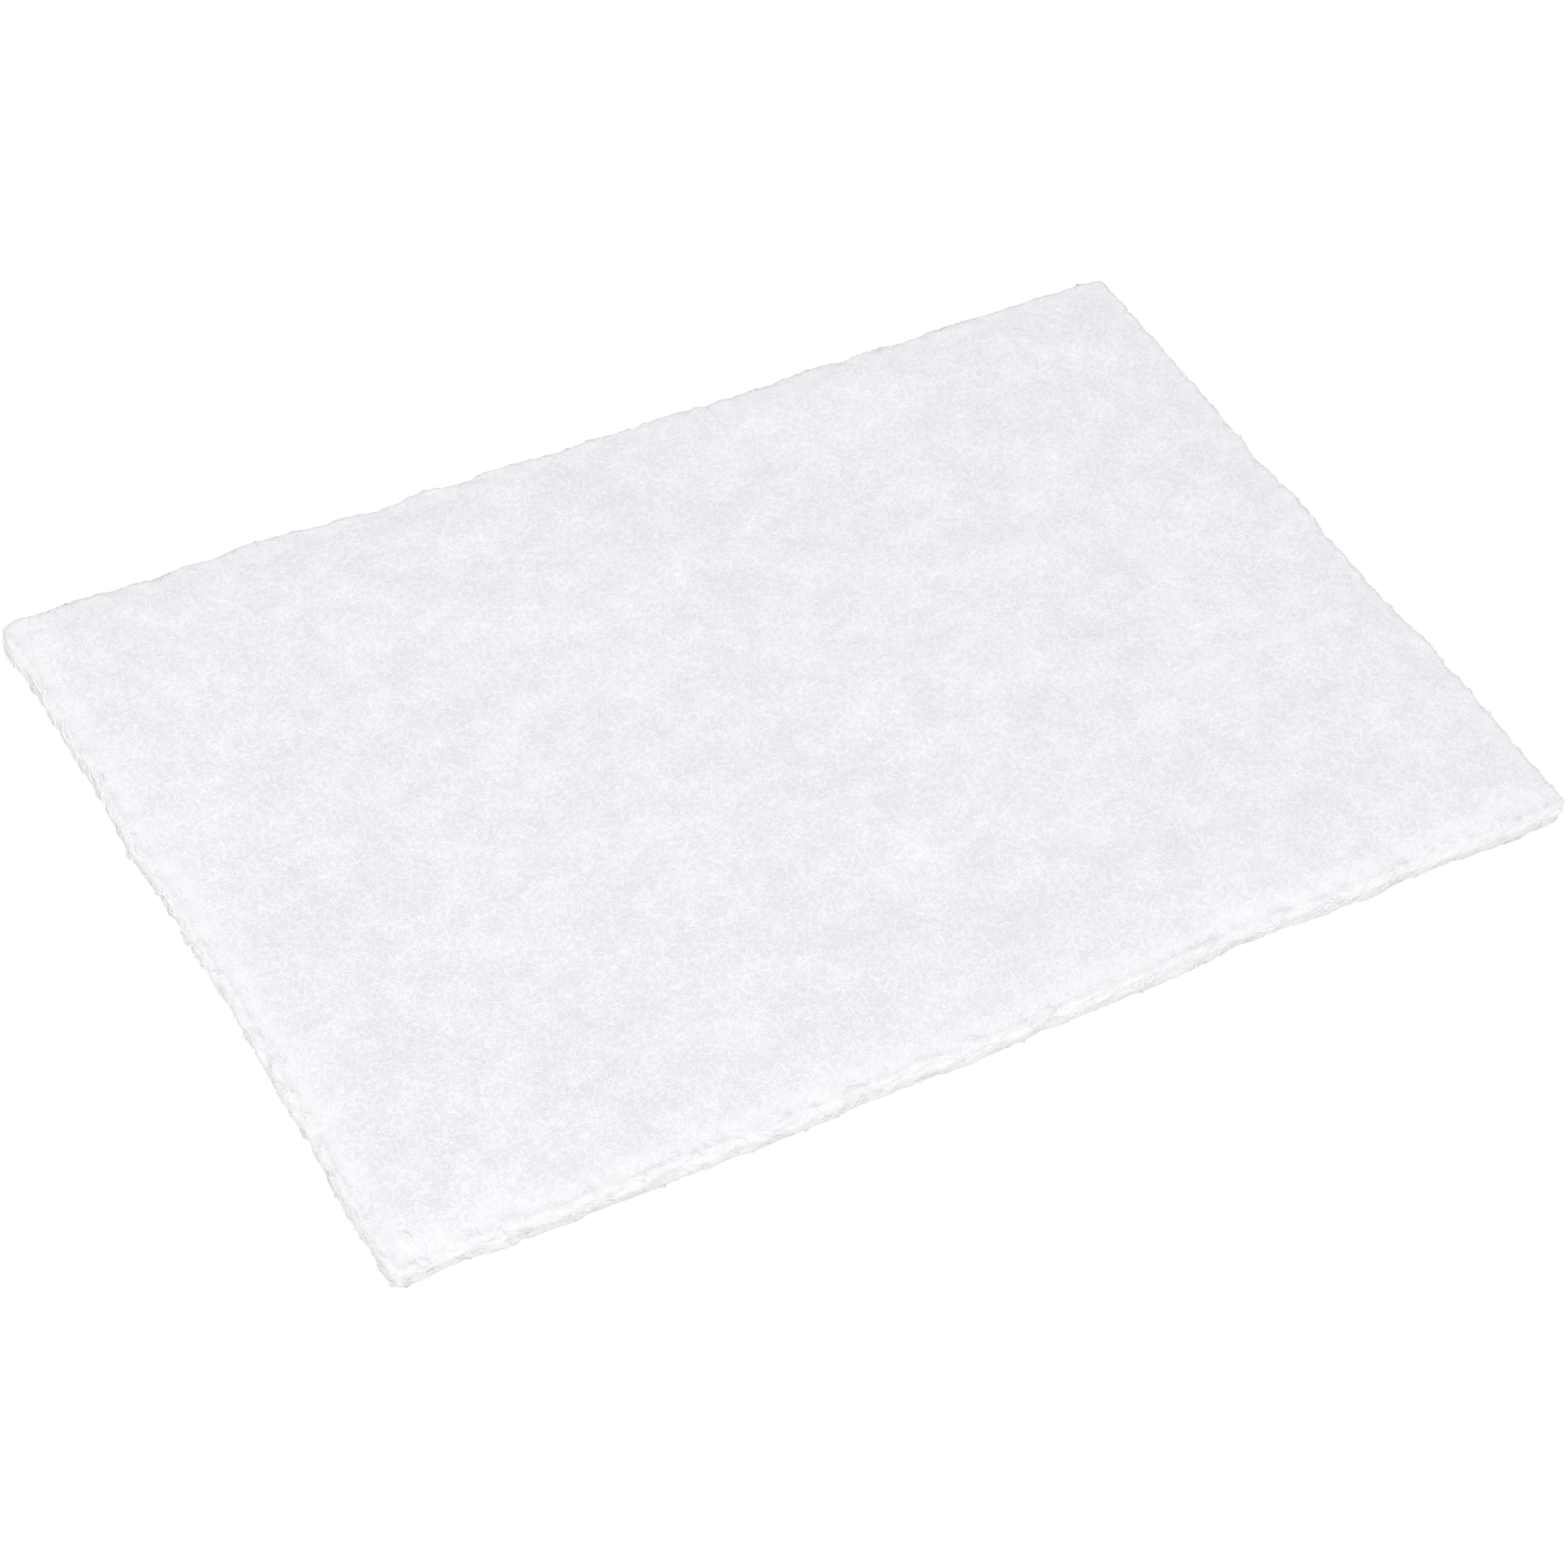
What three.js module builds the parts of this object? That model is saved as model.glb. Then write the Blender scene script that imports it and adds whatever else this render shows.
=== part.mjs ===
// A nylon scouring pad: one slab of bonded fibre web, cut from a wide roll and lying flat.
// Millimetres. +X runs along the pad's length, +Y across it, +Z up. The origin is under the
// middle of the pad, on the surface that it lies on.
// The slab is a net of points over its upper face, a profile carried round its wavy outline
// for the cut edge, and a flat underside that closes it.

import * as THREE from "three";
import { ImprovedNoise } from "three/addons/math/ImprovedNoise.js";

// Size of the slab between the mean lines of its cut edges, and over its highest clumps
const LENGTH = 228;
const WIDTH = 150;
const THICKNESS = 7.1;

// Section of the cut edge: a soft shoulder, an upright wall and a foot that tucks under
const SHOULDER_RADIUS = 1.5;
const FOOT_RADIUS = 1.1;
const SHOULDER_STEPS = 3;
const WALL_STEPS = 2;
const FOOT_STEPS = 2;

// Radius of each corner in plan. The far left one has been rubbed rounder than the rest.
const CORNER_RADIUS = 1.8;
const WORN_CORNER_RADIUS = 3.6;
const SHARPEST_CORNER = 0.5;

// Net of points over the upper face: the cells that a side has between its corners, and
// the cells that turn each corner
const CELL = 3.2;
const CORNER_CELLS = 2;

// Clumps of fibre in the web: long and narrow, because the web is laid along the roll.
// A thin spot lies this far below the highest clump.
const CLUMP_LENGTH = 15;
const CLUMP_WIDTH = 10;
const CLUMP_DEPTH = 0.55;
const TUFT_LENGTH = 7;
const TUFT_WIDTH = 5.5;
const TUFT_DEPTH = 0.35;
const SWELL_LENGTH = 70;
const SWELL_DEPTH = 0.25;

// The upper face rolls down towards the cut edge, where the knife pressed the web together
const EDGE_SINK = 0.7;
const EDGE_SINK_REACH = 10;

// How far the wander of a cut edge pulls on the net inside it
const WANDER_REACH = 14;

// Small lumps of the cut wall, in and out of its mean line
const WALL_LUMP = 0.3;
const WALL_LUMP_LENGTH = 6;
const WALL_LUMP_HEIGHT = 3;

// Wander of the four cut edges, as waves of the knife's path. Each wave has its height, its
// length and the place of one crest, measured along the edge from the edge's middle.
const FRONT_WAVES = [
  { height: 0.5, length: 170, crest: -23 },
  { height: 0.2, length: 76, crest: 8 },
  { height: 0.25, length: 38, crest: -10 },
  { height: 0.15, length: 12, crest: 0 },
];
const BACK_WAVES = [
  { height: 0.25, length: 230, crest: 110 },
  { height: 0.15, length: 60, crest: -3 },
  { height: 0.2, length: 37, crest: 8 },
  { height: 0.2, length: 16, crest: -1 },
];
const LEFT_WAVES = [
  { height: 0.5, length: 260, crest: 120 },
  { height: 0.2, length: 72, crest: 14 },
  { height: 0.15, length: 48, crest: 22 },
  { height: 0.2, length: 26, crest: -4 },
];
const RIGHT_WAVES = [
  { height: 0.25, length: 100, crest: 55 },
  { height: 0.15, length: 52, crest: 9 },
  { height: 0.2, length: 36, crest: 1 },
  { height: 0.15, length: 22, crest: 8 },
];

const noise = new ImprovedNoise();

// Seeds: planes of the noise that lie apart, so that no two patterns repeat each other
const CLUMP_SEED = 0.5;
const TUFT_SEED = 7.5;
const SWELL_SEED = 13.5;
const WALL_SEED = 21.5;

const webMaterial = new THREE.MeshStandardMaterial({
  name: "nylon_web",
  color: new THREE.Color().setRGB(0.94, 0.94, 0.957, THREE.SRGBColorSpace),
  roughness: 0.95,
  metalness: 0,
});

// Smooth step from 0 at the edge itself to 1 at the given reach inside it
function fadeIn(distance, reach) {
  return THREE.MathUtils.smoothstep(distance, 0, reach);
}

// Sum of an edge's waves at a place along it
function wander(waves, place) {
  return waves.reduce(
    (sum, wave) => sum + wave.height * Math.cos((2 * Math.PI * (place - wave.crest)) / wave.length),
    0,
  );
}

// Smooth chance pattern from 0 to 1, for places counted in lengths of the pattern
function pattern(across, along, seed) {
  return (1 + noise.noise(across, along, seed)) / 2;
}

// Depth of the upper face below the highest clumps
function hollow(x, y) {
  const clump = pattern(x / CLUMP_LENGTH, y / CLUMP_WIDTH, CLUMP_SEED);
  const tuft = pattern(x / TUFT_LENGTH, y / TUFT_WIDTH, TUFT_SEED);
  const swell = pattern(x / SWELL_LENGTH, y / SWELL_LENGTH, SWELL_SEED);
  return CLUMP_DEPTH * clump + TUFT_DEPTH * tuft + SWELL_DEPTH * swell;
}

// How far the upper face lies below its middle, at a distance inside one cut edge. The
// slope is greatest at the edge itself and runs out evenly over the reach.
function edgeSink(distance) {
  const outside = 1 - THREE.MathUtils.clamp(distance / EDGE_SINK_REACH, 0, 1);
  return EDGE_SINK * outside * outside;
}

// Height of the upper face at a place in plan
function topHeight(x, y) {
  return THICKNESS - edgeSink(LENGTH / 2 - Math.abs(x)) - edgeSink(WIDTH / 2 - Math.abs(y)) - hollow(x, y);
}

// Stations of the net across one side, from -1 to 1: equal steps between the corners and
// finer ones round each corner
function stations(side) {
  const half = side / 2;
  const straight = half - WORN_CORNER_RADIUS;
  const cells = Math.round((2 * straight) / CELL);
  const places = [];
  for (let i = 0; i < CORNER_CELLS; i += 1) {
    places.push(-half + (WORN_CORNER_RADIUS * i) / CORNER_CELLS);
  }
  for (let i = 0; i <= cells; i += 1) {
    places.push(-straight + (2 * straight * i) / cells);
  }
  for (let i = CORNER_CELLS - 1; i >= 0; i -= 1) {
    places.push(half - (WORN_CORNER_RADIUS * i) / CORNER_CELLS);
  }
  return places.map((place) => place / half);
}

// A station pair laid out in plan, on the outline drawn in by the inset. Squares round a
// corner's centre become arcs, and the wander of each edge moves the net near it.
function planPoint(u, v, inset) {
  const halfLength = LENGTH / 2 - inset;
  const halfWidth = WIDTH / 2 - inset;
  let x = u * halfLength;
  let y = v * halfWidth;
  const full = u < 0 && v > 0 ? WORN_CORNER_RADIUS : CORNER_RADIUS;
  const radius = Math.max(full - inset, SHARPEST_CORNER);
  const past = {
    x: Math.abs(x) - (halfLength - radius),
    y: Math.abs(y) - (halfWidth - radius),
  };
  if (past.x > 0 && past.y > 0) {
    const shrink = Math.max(past.x, past.y) / Math.hypot(past.x, past.y);
    x = Math.sign(x) * (halfLength - radius + past.x * shrink);
    y = Math.sign(y) * (halfWidth - radius + past.y * shrink);
  }
  const pull = (distance) => 1 - fadeIn(Math.max(distance - inset, 0), WANDER_REACH);
  const front = wander(FRONT_WAVES, x) * pull(y + WIDTH / 2);
  const back = wander(BACK_WAVES, x) * pull(WIDTH / 2 - y);
  const left = wander(LEFT_WAVES, y) * pull(x + LENGTH / 2);
  const right = wander(RIGHT_WAVES, y) * pull(LENGTH / 2 - x);
  return { x: x + right - left, y: y + back - front };
}

// The cut edge's section, from the upper face down to the underside. Each step has its
// inset from the outline and its height, given the height of the upper face there.
function edgeSection() {
  const quarter = Math.PI / 2;
  const steps = [];
  for (let i = 1; i <= SHOULDER_STEPS; i += 1) {
    const turn = (quarter * i) / SHOULDER_STEPS;
    steps.push({
      inset: SHOULDER_RADIUS * (1 - Math.sin(turn)),
      height: (top) => top - SHOULDER_RADIUS * (1 - Math.cos(turn)),
    });
  }
  for (let i = 1; i <= WALL_STEPS; i += 1) {
    const share = i / WALL_STEPS;
    steps.push({
      inset: 0,
      height: (top) => THREE.MathUtils.lerp(top - SHOULDER_RADIUS, FOOT_RADIUS, share),
    });
  }
  for (let i = 1; i <= FOOT_STEPS; i += 1) {
    const turn = (quarter * i) / FOOT_STEPS;
    steps.push({
      inset: FOOT_RADIUS * (1 - Math.cos(turn)),
      height: () => FOOT_RADIUS * (1 - Math.sin(turn)),
    });
  }
  return steps;
}

// Stations round the outline, seen from above and against the clock, as pairs of net indices
function outlineStations(columns, rows) {
  const round = [];
  for (let i = 0; i < columns - 1; i += 1) round.push([i, 0]);
  for (let j = 0; j < rows - 1; j += 1) round.push([columns - 1, j]);
  for (let i = columns - 1; i > 0; i -= 1) round.push([i, rows - 1]);
  for (let j = rows - 1; j > 0; j -= 1) round.push([0, j]);
  return round;
}

// A point of the cut edge, moved in or out along the outline's normal by the wall's lumps
function edgePoint(u, v, step) {
  const inner = planPoint(u, v, SHOULDER_RADIUS);
  const place = planPoint(u, v, step.inset);
  const z = step.height(topHeight(inner.x, inner.y));
  const along = (place.x - place.y) / WALL_LUMP_LENGTH;
  const lump = WALL_LUMP * noise.noise(along, z / WALL_LUMP_HEIGHT, WALL_SEED);
  const outward = new THREE.Vector2(Math.abs(u) === 1 ? u : 0, Math.abs(v) === 1 ? v : 0).normalize();
  return [place.x + lump * outward.x, place.y + lump * outward.y, z];
}

function slabGeometry() {
  const us = stations(LENGTH);
  const vs = stations(WIDTH);
  const points = [];
  const faces = [];

  // Upper face
  const netIndex = (i, j) => j * us.length + i;
  vs.forEach((v) => {
    us.forEach((u) => {
      const place = planPoint(u, v, SHOULDER_RADIUS);
      points.push([place.x, place.y, topHeight(place.x, place.y)]);
    });
  });
  for (let j = 0; j < vs.length - 1; j += 1) {
    for (let i = 0; i < us.length - 1; i += 1) {
      const [a, b, c, d] = [netIndex(i, j), netIndex(i + 1, j), netIndex(i + 1, j + 1), netIndex(i, j + 1)];
      if ((i + j) % 2 === 0) faces.push([a, b, c], [a, c, d]);
      else faces.push([a, b, d], [b, c, d]);
    }
  }

  // Cut edge: each ring of the section joins the ring above it
  const round = outlineStations(us.length, vs.length);
  let above = round.map(([i, j]) => netIndex(i, j));
  edgeSection().forEach((step) => {
    const ring = round.map(([i, j]) => points.push(edgePoint(us[i], vs[j], step)) - 1);
    ring.forEach((low, k) => {
      const next = (k + 1) % ring.length;
      faces.push([above[k], low, ring[next]], [above[k], ring[next], above[next]]);
    });
    above = ring;
  });

  // Flat underside, seen from below, so its faces turn the other way
  const foot = above.map((index) => new THREE.Vector2(points[index][0], points[index][1]));
  THREE.ShapeUtils.triangulateShape(foot, []).forEach(([a, b, c]) => {
    faces.push([above[a], above[c], above[b]]);
  });

  const geometry = new THREE.BufferGeometry();
  geometry.setAttribute("position", new THREE.Float32BufferAttribute(points.flat(), 3));
  geometry.setIndex(faces.flat());
  geometry.computeBoundingBox();
  const middle = geometry.boundingBox.getCenter(new THREE.Vector3());
  geometry.translate(-middle.x, -middle.y, 0);
  geometry.computeVertexNormals();
  return geometry;
}

const pad = new THREE.Mesh(slabGeometry(), webMaterial);
pad.name = "scouring_pad";

const model = new THREE.Group();
model.add(pad);

export default model;
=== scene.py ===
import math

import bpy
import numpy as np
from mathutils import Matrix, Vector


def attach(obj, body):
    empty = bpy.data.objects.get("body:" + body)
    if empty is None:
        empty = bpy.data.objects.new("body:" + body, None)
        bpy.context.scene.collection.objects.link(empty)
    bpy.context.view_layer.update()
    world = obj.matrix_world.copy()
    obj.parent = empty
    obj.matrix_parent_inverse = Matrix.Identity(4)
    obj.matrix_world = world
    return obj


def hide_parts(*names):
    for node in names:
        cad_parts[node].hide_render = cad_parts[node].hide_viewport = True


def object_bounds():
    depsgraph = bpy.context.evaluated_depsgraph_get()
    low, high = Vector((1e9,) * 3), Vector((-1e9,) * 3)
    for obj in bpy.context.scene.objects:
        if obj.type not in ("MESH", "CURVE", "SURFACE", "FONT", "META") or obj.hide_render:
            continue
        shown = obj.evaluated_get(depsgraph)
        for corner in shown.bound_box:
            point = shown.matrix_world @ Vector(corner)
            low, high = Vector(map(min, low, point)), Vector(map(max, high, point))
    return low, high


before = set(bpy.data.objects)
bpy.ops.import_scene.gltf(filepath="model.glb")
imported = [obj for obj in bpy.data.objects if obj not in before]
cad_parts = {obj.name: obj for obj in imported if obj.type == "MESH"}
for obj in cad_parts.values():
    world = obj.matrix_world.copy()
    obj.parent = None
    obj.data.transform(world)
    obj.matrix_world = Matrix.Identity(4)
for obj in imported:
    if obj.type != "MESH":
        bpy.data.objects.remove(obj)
solid_low, solid_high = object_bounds()

# The looks of a nylon scouring pad: a slab of crimped white fibres bonded where they cross.
# Shapes are worked out in millimetres, in the frame of the solid, and become metres when a
# mesh is made. The web is one lumpy body under several thousand single fibres that arch out
# of it and sink back into it.

MM = 0.001
NODE = "scouring_pad"

# Slab between the mean lines of its cut edges, and its edge section, as in the solid
LENGTH = 228.0
WIDTH = 150.0
THICKNESS = (solid_high.z - solid_low.z) / MM
SHOULDER_RADIUS = 1.5
FOOT_RADIUS = 1.1
ARC_POINTS = 16
CORNER_RADIUS = 1.8
WORN_CORNER_RADIUS = 3.6
SHARPEST_CORNER = 0.5
WANDER_REACH = 14.0

# Reading the solid: size of the cells that its points are gathered in, how far in from its mean
# line a wall can lie, and the margins that tell walls and upper face from the rest
NET_CELL = 3.6
WALL_DEPTH = 1.2
WALL_MARGIN = 0.1
TOP_MARGIN = 0.6

# Unrolled skin: the upper face, with the shoulder, wall and foot laid out flat round it
FLAT_X = LENGTH / 2 - SHOULDER_RADIUS
FLAT_Y = WIDTH / 2 - SHOULDER_RADIUS
SHOULDER_ARC = SHOULDER_RADIUS * math.pi / 2
WALL_HEIGHT = THICKNESS - SHOULDER_RADIUS - FOOT_RADIUS
SKIRT = math.pi / 2 * (SHOULDER_RADIUS + FOOT_RADIUS) + WALL_HEIGHT

# Body of the web, under the single fibres
BODY_CELL = 1.2
SKIRT_CELL = 0.52
BODY_SINK = 0.30

# The underside rises this much off the ground, over this distance from the edge. It takes its
# chance patterns from this far along them.
UNDERSIDE_RISE = 0.25
UNDERSIDE_REACH = 6.0
UNDERSIDE_SHIFT = 300

# Chance patterns repeat after this many cells
CLOUD_CELLS = 512

# Lumps of the body: length and width of the pattern, height, turn of its grain, seed
LUMPS = (
    (7.5, 5.0, 0.07, 0.20, 11),
    (3.2, 2.3, 0.06, -0.35, 12),
)

# Lumps of the cut edge, where the knife has torn the web into small tufts
EDGE_LUMPS = (
    (4.2, 2.8, 0.20, 0.10, 14),
    (2.2, 1.6, 0.27, -0.30, 15),
    (1.4, 1.2, 0.16, 0.20, 16),
)
EDGE_LUMP_REACH = 1.6

# Thick and thin places of the web: length and width of the pattern, share, turn, seed
THICK_AND_THIN = (
    (26.0, 18.0, 0.10, 0.30, 21),
    (10.0, 7.5, 0.27, 0.30, 22),
    (4.2, 3.0, 0.52, 0.30, 23),
)
MIDDLING_THICKNESS = 0.42
CHANCE_THICKNESS = 0.6

# The plainest thick and thin places of this pad: place, length and width of the soft spot,
# and how much thicker the web is there
PLACES = (
    (-52, 12, 8, 5, 0.25),
    (-8, 34, 8, 4, 0.18),
    (-20, 13, 5, 6, 0.18),
    (44, 22, 8, 5, 0.15),
    (2, -36, 7, 11, 0.18),
    (-96, -4, 5, 7, -0.25),
    (-101, -39, 5, 6, -0.25),
    (-19, -48, 6, 4, -0.35),
    (-24, -63, 8, 4, -0.25),
    (10, -58, 5, 4, -0.25),
    (-54, -48, 6, 4, -0.22),
    (62, -54, 18, 4, -0.18),
    (38, 43, 10, 4, -0.18),
    (59, 52, 7, 5, -0.18),
    (62, 4, 12, 6, -0.15),
)

# The web is pressed dense along its cut edges, over this distance
DENSE_EDGE = 0.25
DENSE_EDGE_REACH = 5.0

# The cut edge is matted to an even felt, this far in from the shoulder, with a ragged border:
# length and width of the pattern, height, turn of its grain, seed
RIM_REACH = 4.0
RIM_BORDER = (
    (6.0, 4.0, 1.1, 0.30, 31),
    (2.4, 1.8, 0.7, -0.20, 32),
)

# Painted shade dulls the shoulder, where more light falls on its curve, on either side of this distance
# down the skirt
SHOULDER_SHADE_MIDDLE = 1.1
SHOULDER_SHADE_BAND = 2.0

# The matted web also lies a little lower before the shoulder, and rolls down over this distance
EDGE_ROLL = 0.30
EDGE_ROLL_REACH = 5.5

# The fibres lie along the roll, which turns this far from the pad's length, in radians
GRAIN_TURN = 0.70
GRAIN_SPREAD = 0.45

# Crimp of the fibres: how far a long and a short wave turn them, in radians, and their lengths
LONG_CRIMP = (0.35, 1.1)
LONG_CRIMP_LENGTH = (2.6, 5.0)
SHORT_CRIMP = (0.2, 0.7)
SHORT_CRIMP_LENGTH = (1.5, 2.3)

# Curl of the fibres, in radians for each millimetre, and the share that curl into loops
LOOP_SHARE = 0.12
LOOP_CURL = (0.5, 1.2)
SLIGHT_CURL = 0.15

# Section of the fibres, as the height's share of the width, and their spread and taper
TUBE_SIDES = 3
FIBRE_RADIUS = 0.085
FLAT_FIBRE = 0.20
EDGE_FLAT_FIBRE = 0.25
STRAY_FLAT_FIBRE = 1.0
RADIUS_SPREAD = (0.8, 1.2)
UNDER_RADIUS_SPREAD = (0.8, 1.1)
END_RADIUS = 0.35
TAPER = 6

# Length of the fibres, in steps along their middle line
FIBRE_STEP = 0.60
FIBRE_STEPS = 12
STRAY_STEP = 0.34
STRAY_STEPS = 8

# Arches of the fibres over the body: ends sunk in it, fullness of the arch, length of its ripples
FIBRE_SUNK = -0.25
ARCH_FULLNESS = 0.45
RIPPLE_LENGTH = (2.6, 6.0)
FOLD_MARGIN = 0.5
FACE_MARGIN = 1.0
LOWEST_FIBRE = 0.08

# Layers of fibres on the upper face: name, seed, lowest and highest crest, ripple
TOP_LAYERS = (
    ("deep_fibres", 51, (0.0, 0.05), 0.04),
    ("middle_fibres", 52, (0.02, 0.12), 0.05),
    ("surface_fibres", 53, (0.05, 0.24), 0.07),
)
TOP_FIBRES = 2600
TOP_ALONG_GRAIN = 0.6
LEAST_CROWD = 0.35

# Fibres matted over the cut edge, and fibre ends that stand out of it: seed, number, share along
# the grain, crests, ripple, where their band starts and how far before the skirt's end it stops
EDGE_SEED = 54
EDGE_FIBRES = 2000
EDGE_ALONG_GRAIN = 0.1
EDGE_CREST = (0.0, 0.14)
EDGE_RIPPLE = 0.04
EDGE_FIBRES_FROM = -2.5
EDGE_FIBRES_SHORT = 1.2
STRAY_SEED = 55
STRAY_FIBRES = 900
STRAY_ALONG_GRAIN = 0.2
STRAY_CREST = (0.10, 0.42)
STRAY_RIPPLE = 0.05
STRAY_FIBRES_FROM = -1.0
STRAY_FIBRES_SHORT = 0.4

# Fibres on the underside
UNDER_SEED = 61
UNDER_FIBRES = 700
UNDER_SUNK = -0.2
UNDER_CREST = (0.1, 0.25)
UNDER_RIPPLE = 0.06
UNDER_THICKNESS = 0.5

# Places tried by chance for each fibre that is kept, on a whole face and in the band of the edge
FACE_TRIES = 6
EDGE_TRIES = 12

# A fleck of pale husk caught near the left front corner
FLECK_PLACE = (-109.2, -69.6)
FLECK_TURN = -1.06
FLECK_LENGTH = 1.6
FLECK_RADIUS = 0.26
FLECK_FLATNESS = 0.35
FLECK_RINGS = 5
FLECK_LIFT = 0.05
FLECK_BOW = 0.12

# Colours of the web: an open pore, darkened as painted shade of the web's depth, a thread on top, single
# fibres, and the felt of the cut edge.
# The shoulder's tint is painted shade that tones down the light on its curve, and the foot's tint is a
# darker, warmer painted shade where the foot meets the ground.
PORE_SHADE = (0.80, 0.80, 0.825, 1)
THREAD = (0.94, 0.945, 0.985, 1)
DULL_FIBRE = (0.88, 0.885, 0.92, 1)
BRIGHT_FIBRE = (0.955, 0.96, 0.99, 1)
CUT_EDGE = (0.900, 0.898, 0.920, 1)
SHOULDER_SHADE = (0.945, 0.945, 0.945, 1)
FOOT_SHADE = (0.918, 0.898, 0.886, 1)
DARK_HUSK = (0.80, 0.74, 0.63, 1)
PALE_HUSK = (0.88, 0.84, 0.76, 1)

# The foot's painted shade is full below the lower height and gone above the upper one, in metres. A noise
# moves both, by this much and with this many waves a metre.
FOOT_SHADE_LOW = 2.5 * MM
FOOT_SHADE_HIGH = 3.4 * MM
FOOT_SHADE_WANDER = 5.0 * MM
FOOT_SHADE_SCALE = 280.0

# How far the body and the fibres take on the even tone of the felt where the rim is matted
BODY_FELT = 0.85
FIBRE_FELT = 0.70

# Lines of the web between the single fibres: kind, turn in radians, how far drawn out along the
# turn, cells or waves a metre, width, how much they cover, height
WEB_LINES = (
    ("cells", 0.75, 2.2, 900.0, 0.13, 0.80, 1.0),
    ("curls", 0.60, 2.0, 680.0, 0.040, 0.65, 0.9),
    ("curls", 1.05, 1.8, 900.0, 0.045, 0.50, 0.7),
    ("curls", -0.30, 1.2, 560.0, 0.024, 0.35, 0.8),
    ("cells", 0.80, 1.8, 1700.0, 0.13, 0.20, 0.5),
)
WEB_BEND = 1.6 * MM
WEB_BEND_SCALE = 1300.0
WEB_HEIGHT = 0.03 * MM

# Share of the body's colour that its lines give, and that the thickness of the web gives
LINE_SHARE = 0.8
THICK_SHARE = 0.6
THIN_START = -0.20

# Shade of a single fibre: where it starts, and what its grain, its own tint and the thickness of
# the web add to it. The grain has this many waves a metre, and roughens the fibre too.
FIBRE_START = -0.1
GRAIN_SHARE = 0.4
TINT_SHARE = 0.5
FIBRE_THICK_SHARE = 0.3
FIBRE_GRAIN_SCALE = 1800.0
SMOOTHEST_FIBRE = 0.45
GRAIN_ROUGHENS = 0.3
HUSK_GRAIN_SCALE = 1500.0

# Ground, surround and soft box, in metres and watts
GROUND_SIDE = 4.0
GROUND_COLOUR = (0.90, 0.90, 0.90, 1)
GROUND_GLOW = 0.45
SURROUND_LIGHT = 0.707
WHITE = (1, 1, 1, 1)
BOX_SIDE = 2.0
BOX_POWER = 39.5
BOX_AZIMUTH = -40
BOX_ELEVATION = 45
BOX_DISTANCE = 2.7

# Camera, fitted to the four corners in the photograph
CAMERA_AZIMUTH = -37.6
CAMERA_ELEVATION = 47.6
CAMERA_ROLL = 9.6
CAMERA_DISTANCE = 671.0
CAMERA_TARGET = (-6.8, -9.4, 0.0)
CAMERA_LENS = 90.0
CAMERA_SENSOR = 36.0
NEAREST_SEEN = 0.01
FARTHEST_SEEN = 20.0

NO_TRIANGLES = np.zeros((0, 3), int)


def eased(t):
    """The quintic step 6t^5 - 15t^4 + 10t^3, which leaves 0 and reaches 1 without a kink."""
    return t * t * t * (t * (t * 6 - 15) + 10)


def cloud(x, y, long, wide, turn, seed):
    """Smooth chance pattern from -1 to 1. Random values on a square lattice of cells long by wide,
    turned by the given angle, are joined by the quintic step in both directions."""
    values = np.random.default_rng(seed).uniform(-1, 1, (CLOUD_CELLS, CLOUD_CELLS))
    gx = (x * math.cos(turn) + y * math.sin(turn)) / long
    gy = (y * math.cos(turn) - x * math.sin(turn)) / wide
    ix = np.floor(gx).astype(int)
    iy = np.floor(gy).astype(int)
    fx = eased(gx - ix)
    fy = eased(gy - iy)
    i0 = ix % CLOUD_CELLS
    i1 = (ix + 1) % CLOUD_CELLS
    j0 = iy % CLOUD_CELLS
    j1 = (iy + 1) % CLOUD_CELLS
    near = values[i0, j0] * (1 - fx) + values[i1, j0] * fx
    far = values[i0, j1] * (1 - fx) + values[i1, j1] * fx
    return near * (1 - fy) + far * fy


def layered(x, y, layers):
    """Sum of several clouds, each with its own size, height, turn and seed."""
    return sum(
        height * cloud(x, y, long, wide, turn, seed)
        for long, wide, height, turn, seed in layers
    )


def past_flat(x, y):
    """How far an unrolled place lies past the flat part of the upper face, negative inside it."""
    return np.maximum(np.abs(x) - FLAT_X, np.abs(y) - FLAT_Y)


def thickness_of_web(x, y):
    """How thickly the fibres lie at an unrolled place, from 0 at a thin spot to 1 at a dense clump:
    chance clouds, soft round spots that fall off as a bell curve, and the dense band along the cut
    edges, which falls off as a square."""
    spots = sum(
        more * np.exp(-((x - px) / long) ** 2 - ((y - py) / wide) ** 2)
        for px, py, long, wide, more in PLACES
    )
    inside = np.clip(-past_flat(x, y) / DENSE_EDGE_REACH, 0, 1)
    band = DENSE_EDGE * (1 - inside) ** 2
    chance = CHANCE_THICKNESS * layered(x, y, THICK_AND_THIN)
    return np.clip(MIDDLING_THICKNESS + chance + spots + band, 0, 1)


def matted_rim(x, y):
    """How far the web is matted to an even felt at an unrolled place: 1 on the cut edge, easing to 0
    by the quintic step over the rim's reach inside it. Chance clouds make the inner border ragged."""
    ragged = past_flat(x, y) + layered(x, y, RIM_BORDER)
    return eased(np.clip(1 + ragged / RIM_REACH, 0, 1))


def shoulder_shade_share(x, y):
    """How near an unrolled place is to the middle of the shoulder, falling from 1 to 0 by the quintic
    step: the mask of the shoulder's painted shade."""
    return eased(np.clip(1 - np.abs(past_flat(x, y) - SHOULDER_SHADE_MIDDLE) / SHOULDER_SHADE_BAND, 0, 1))


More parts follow.
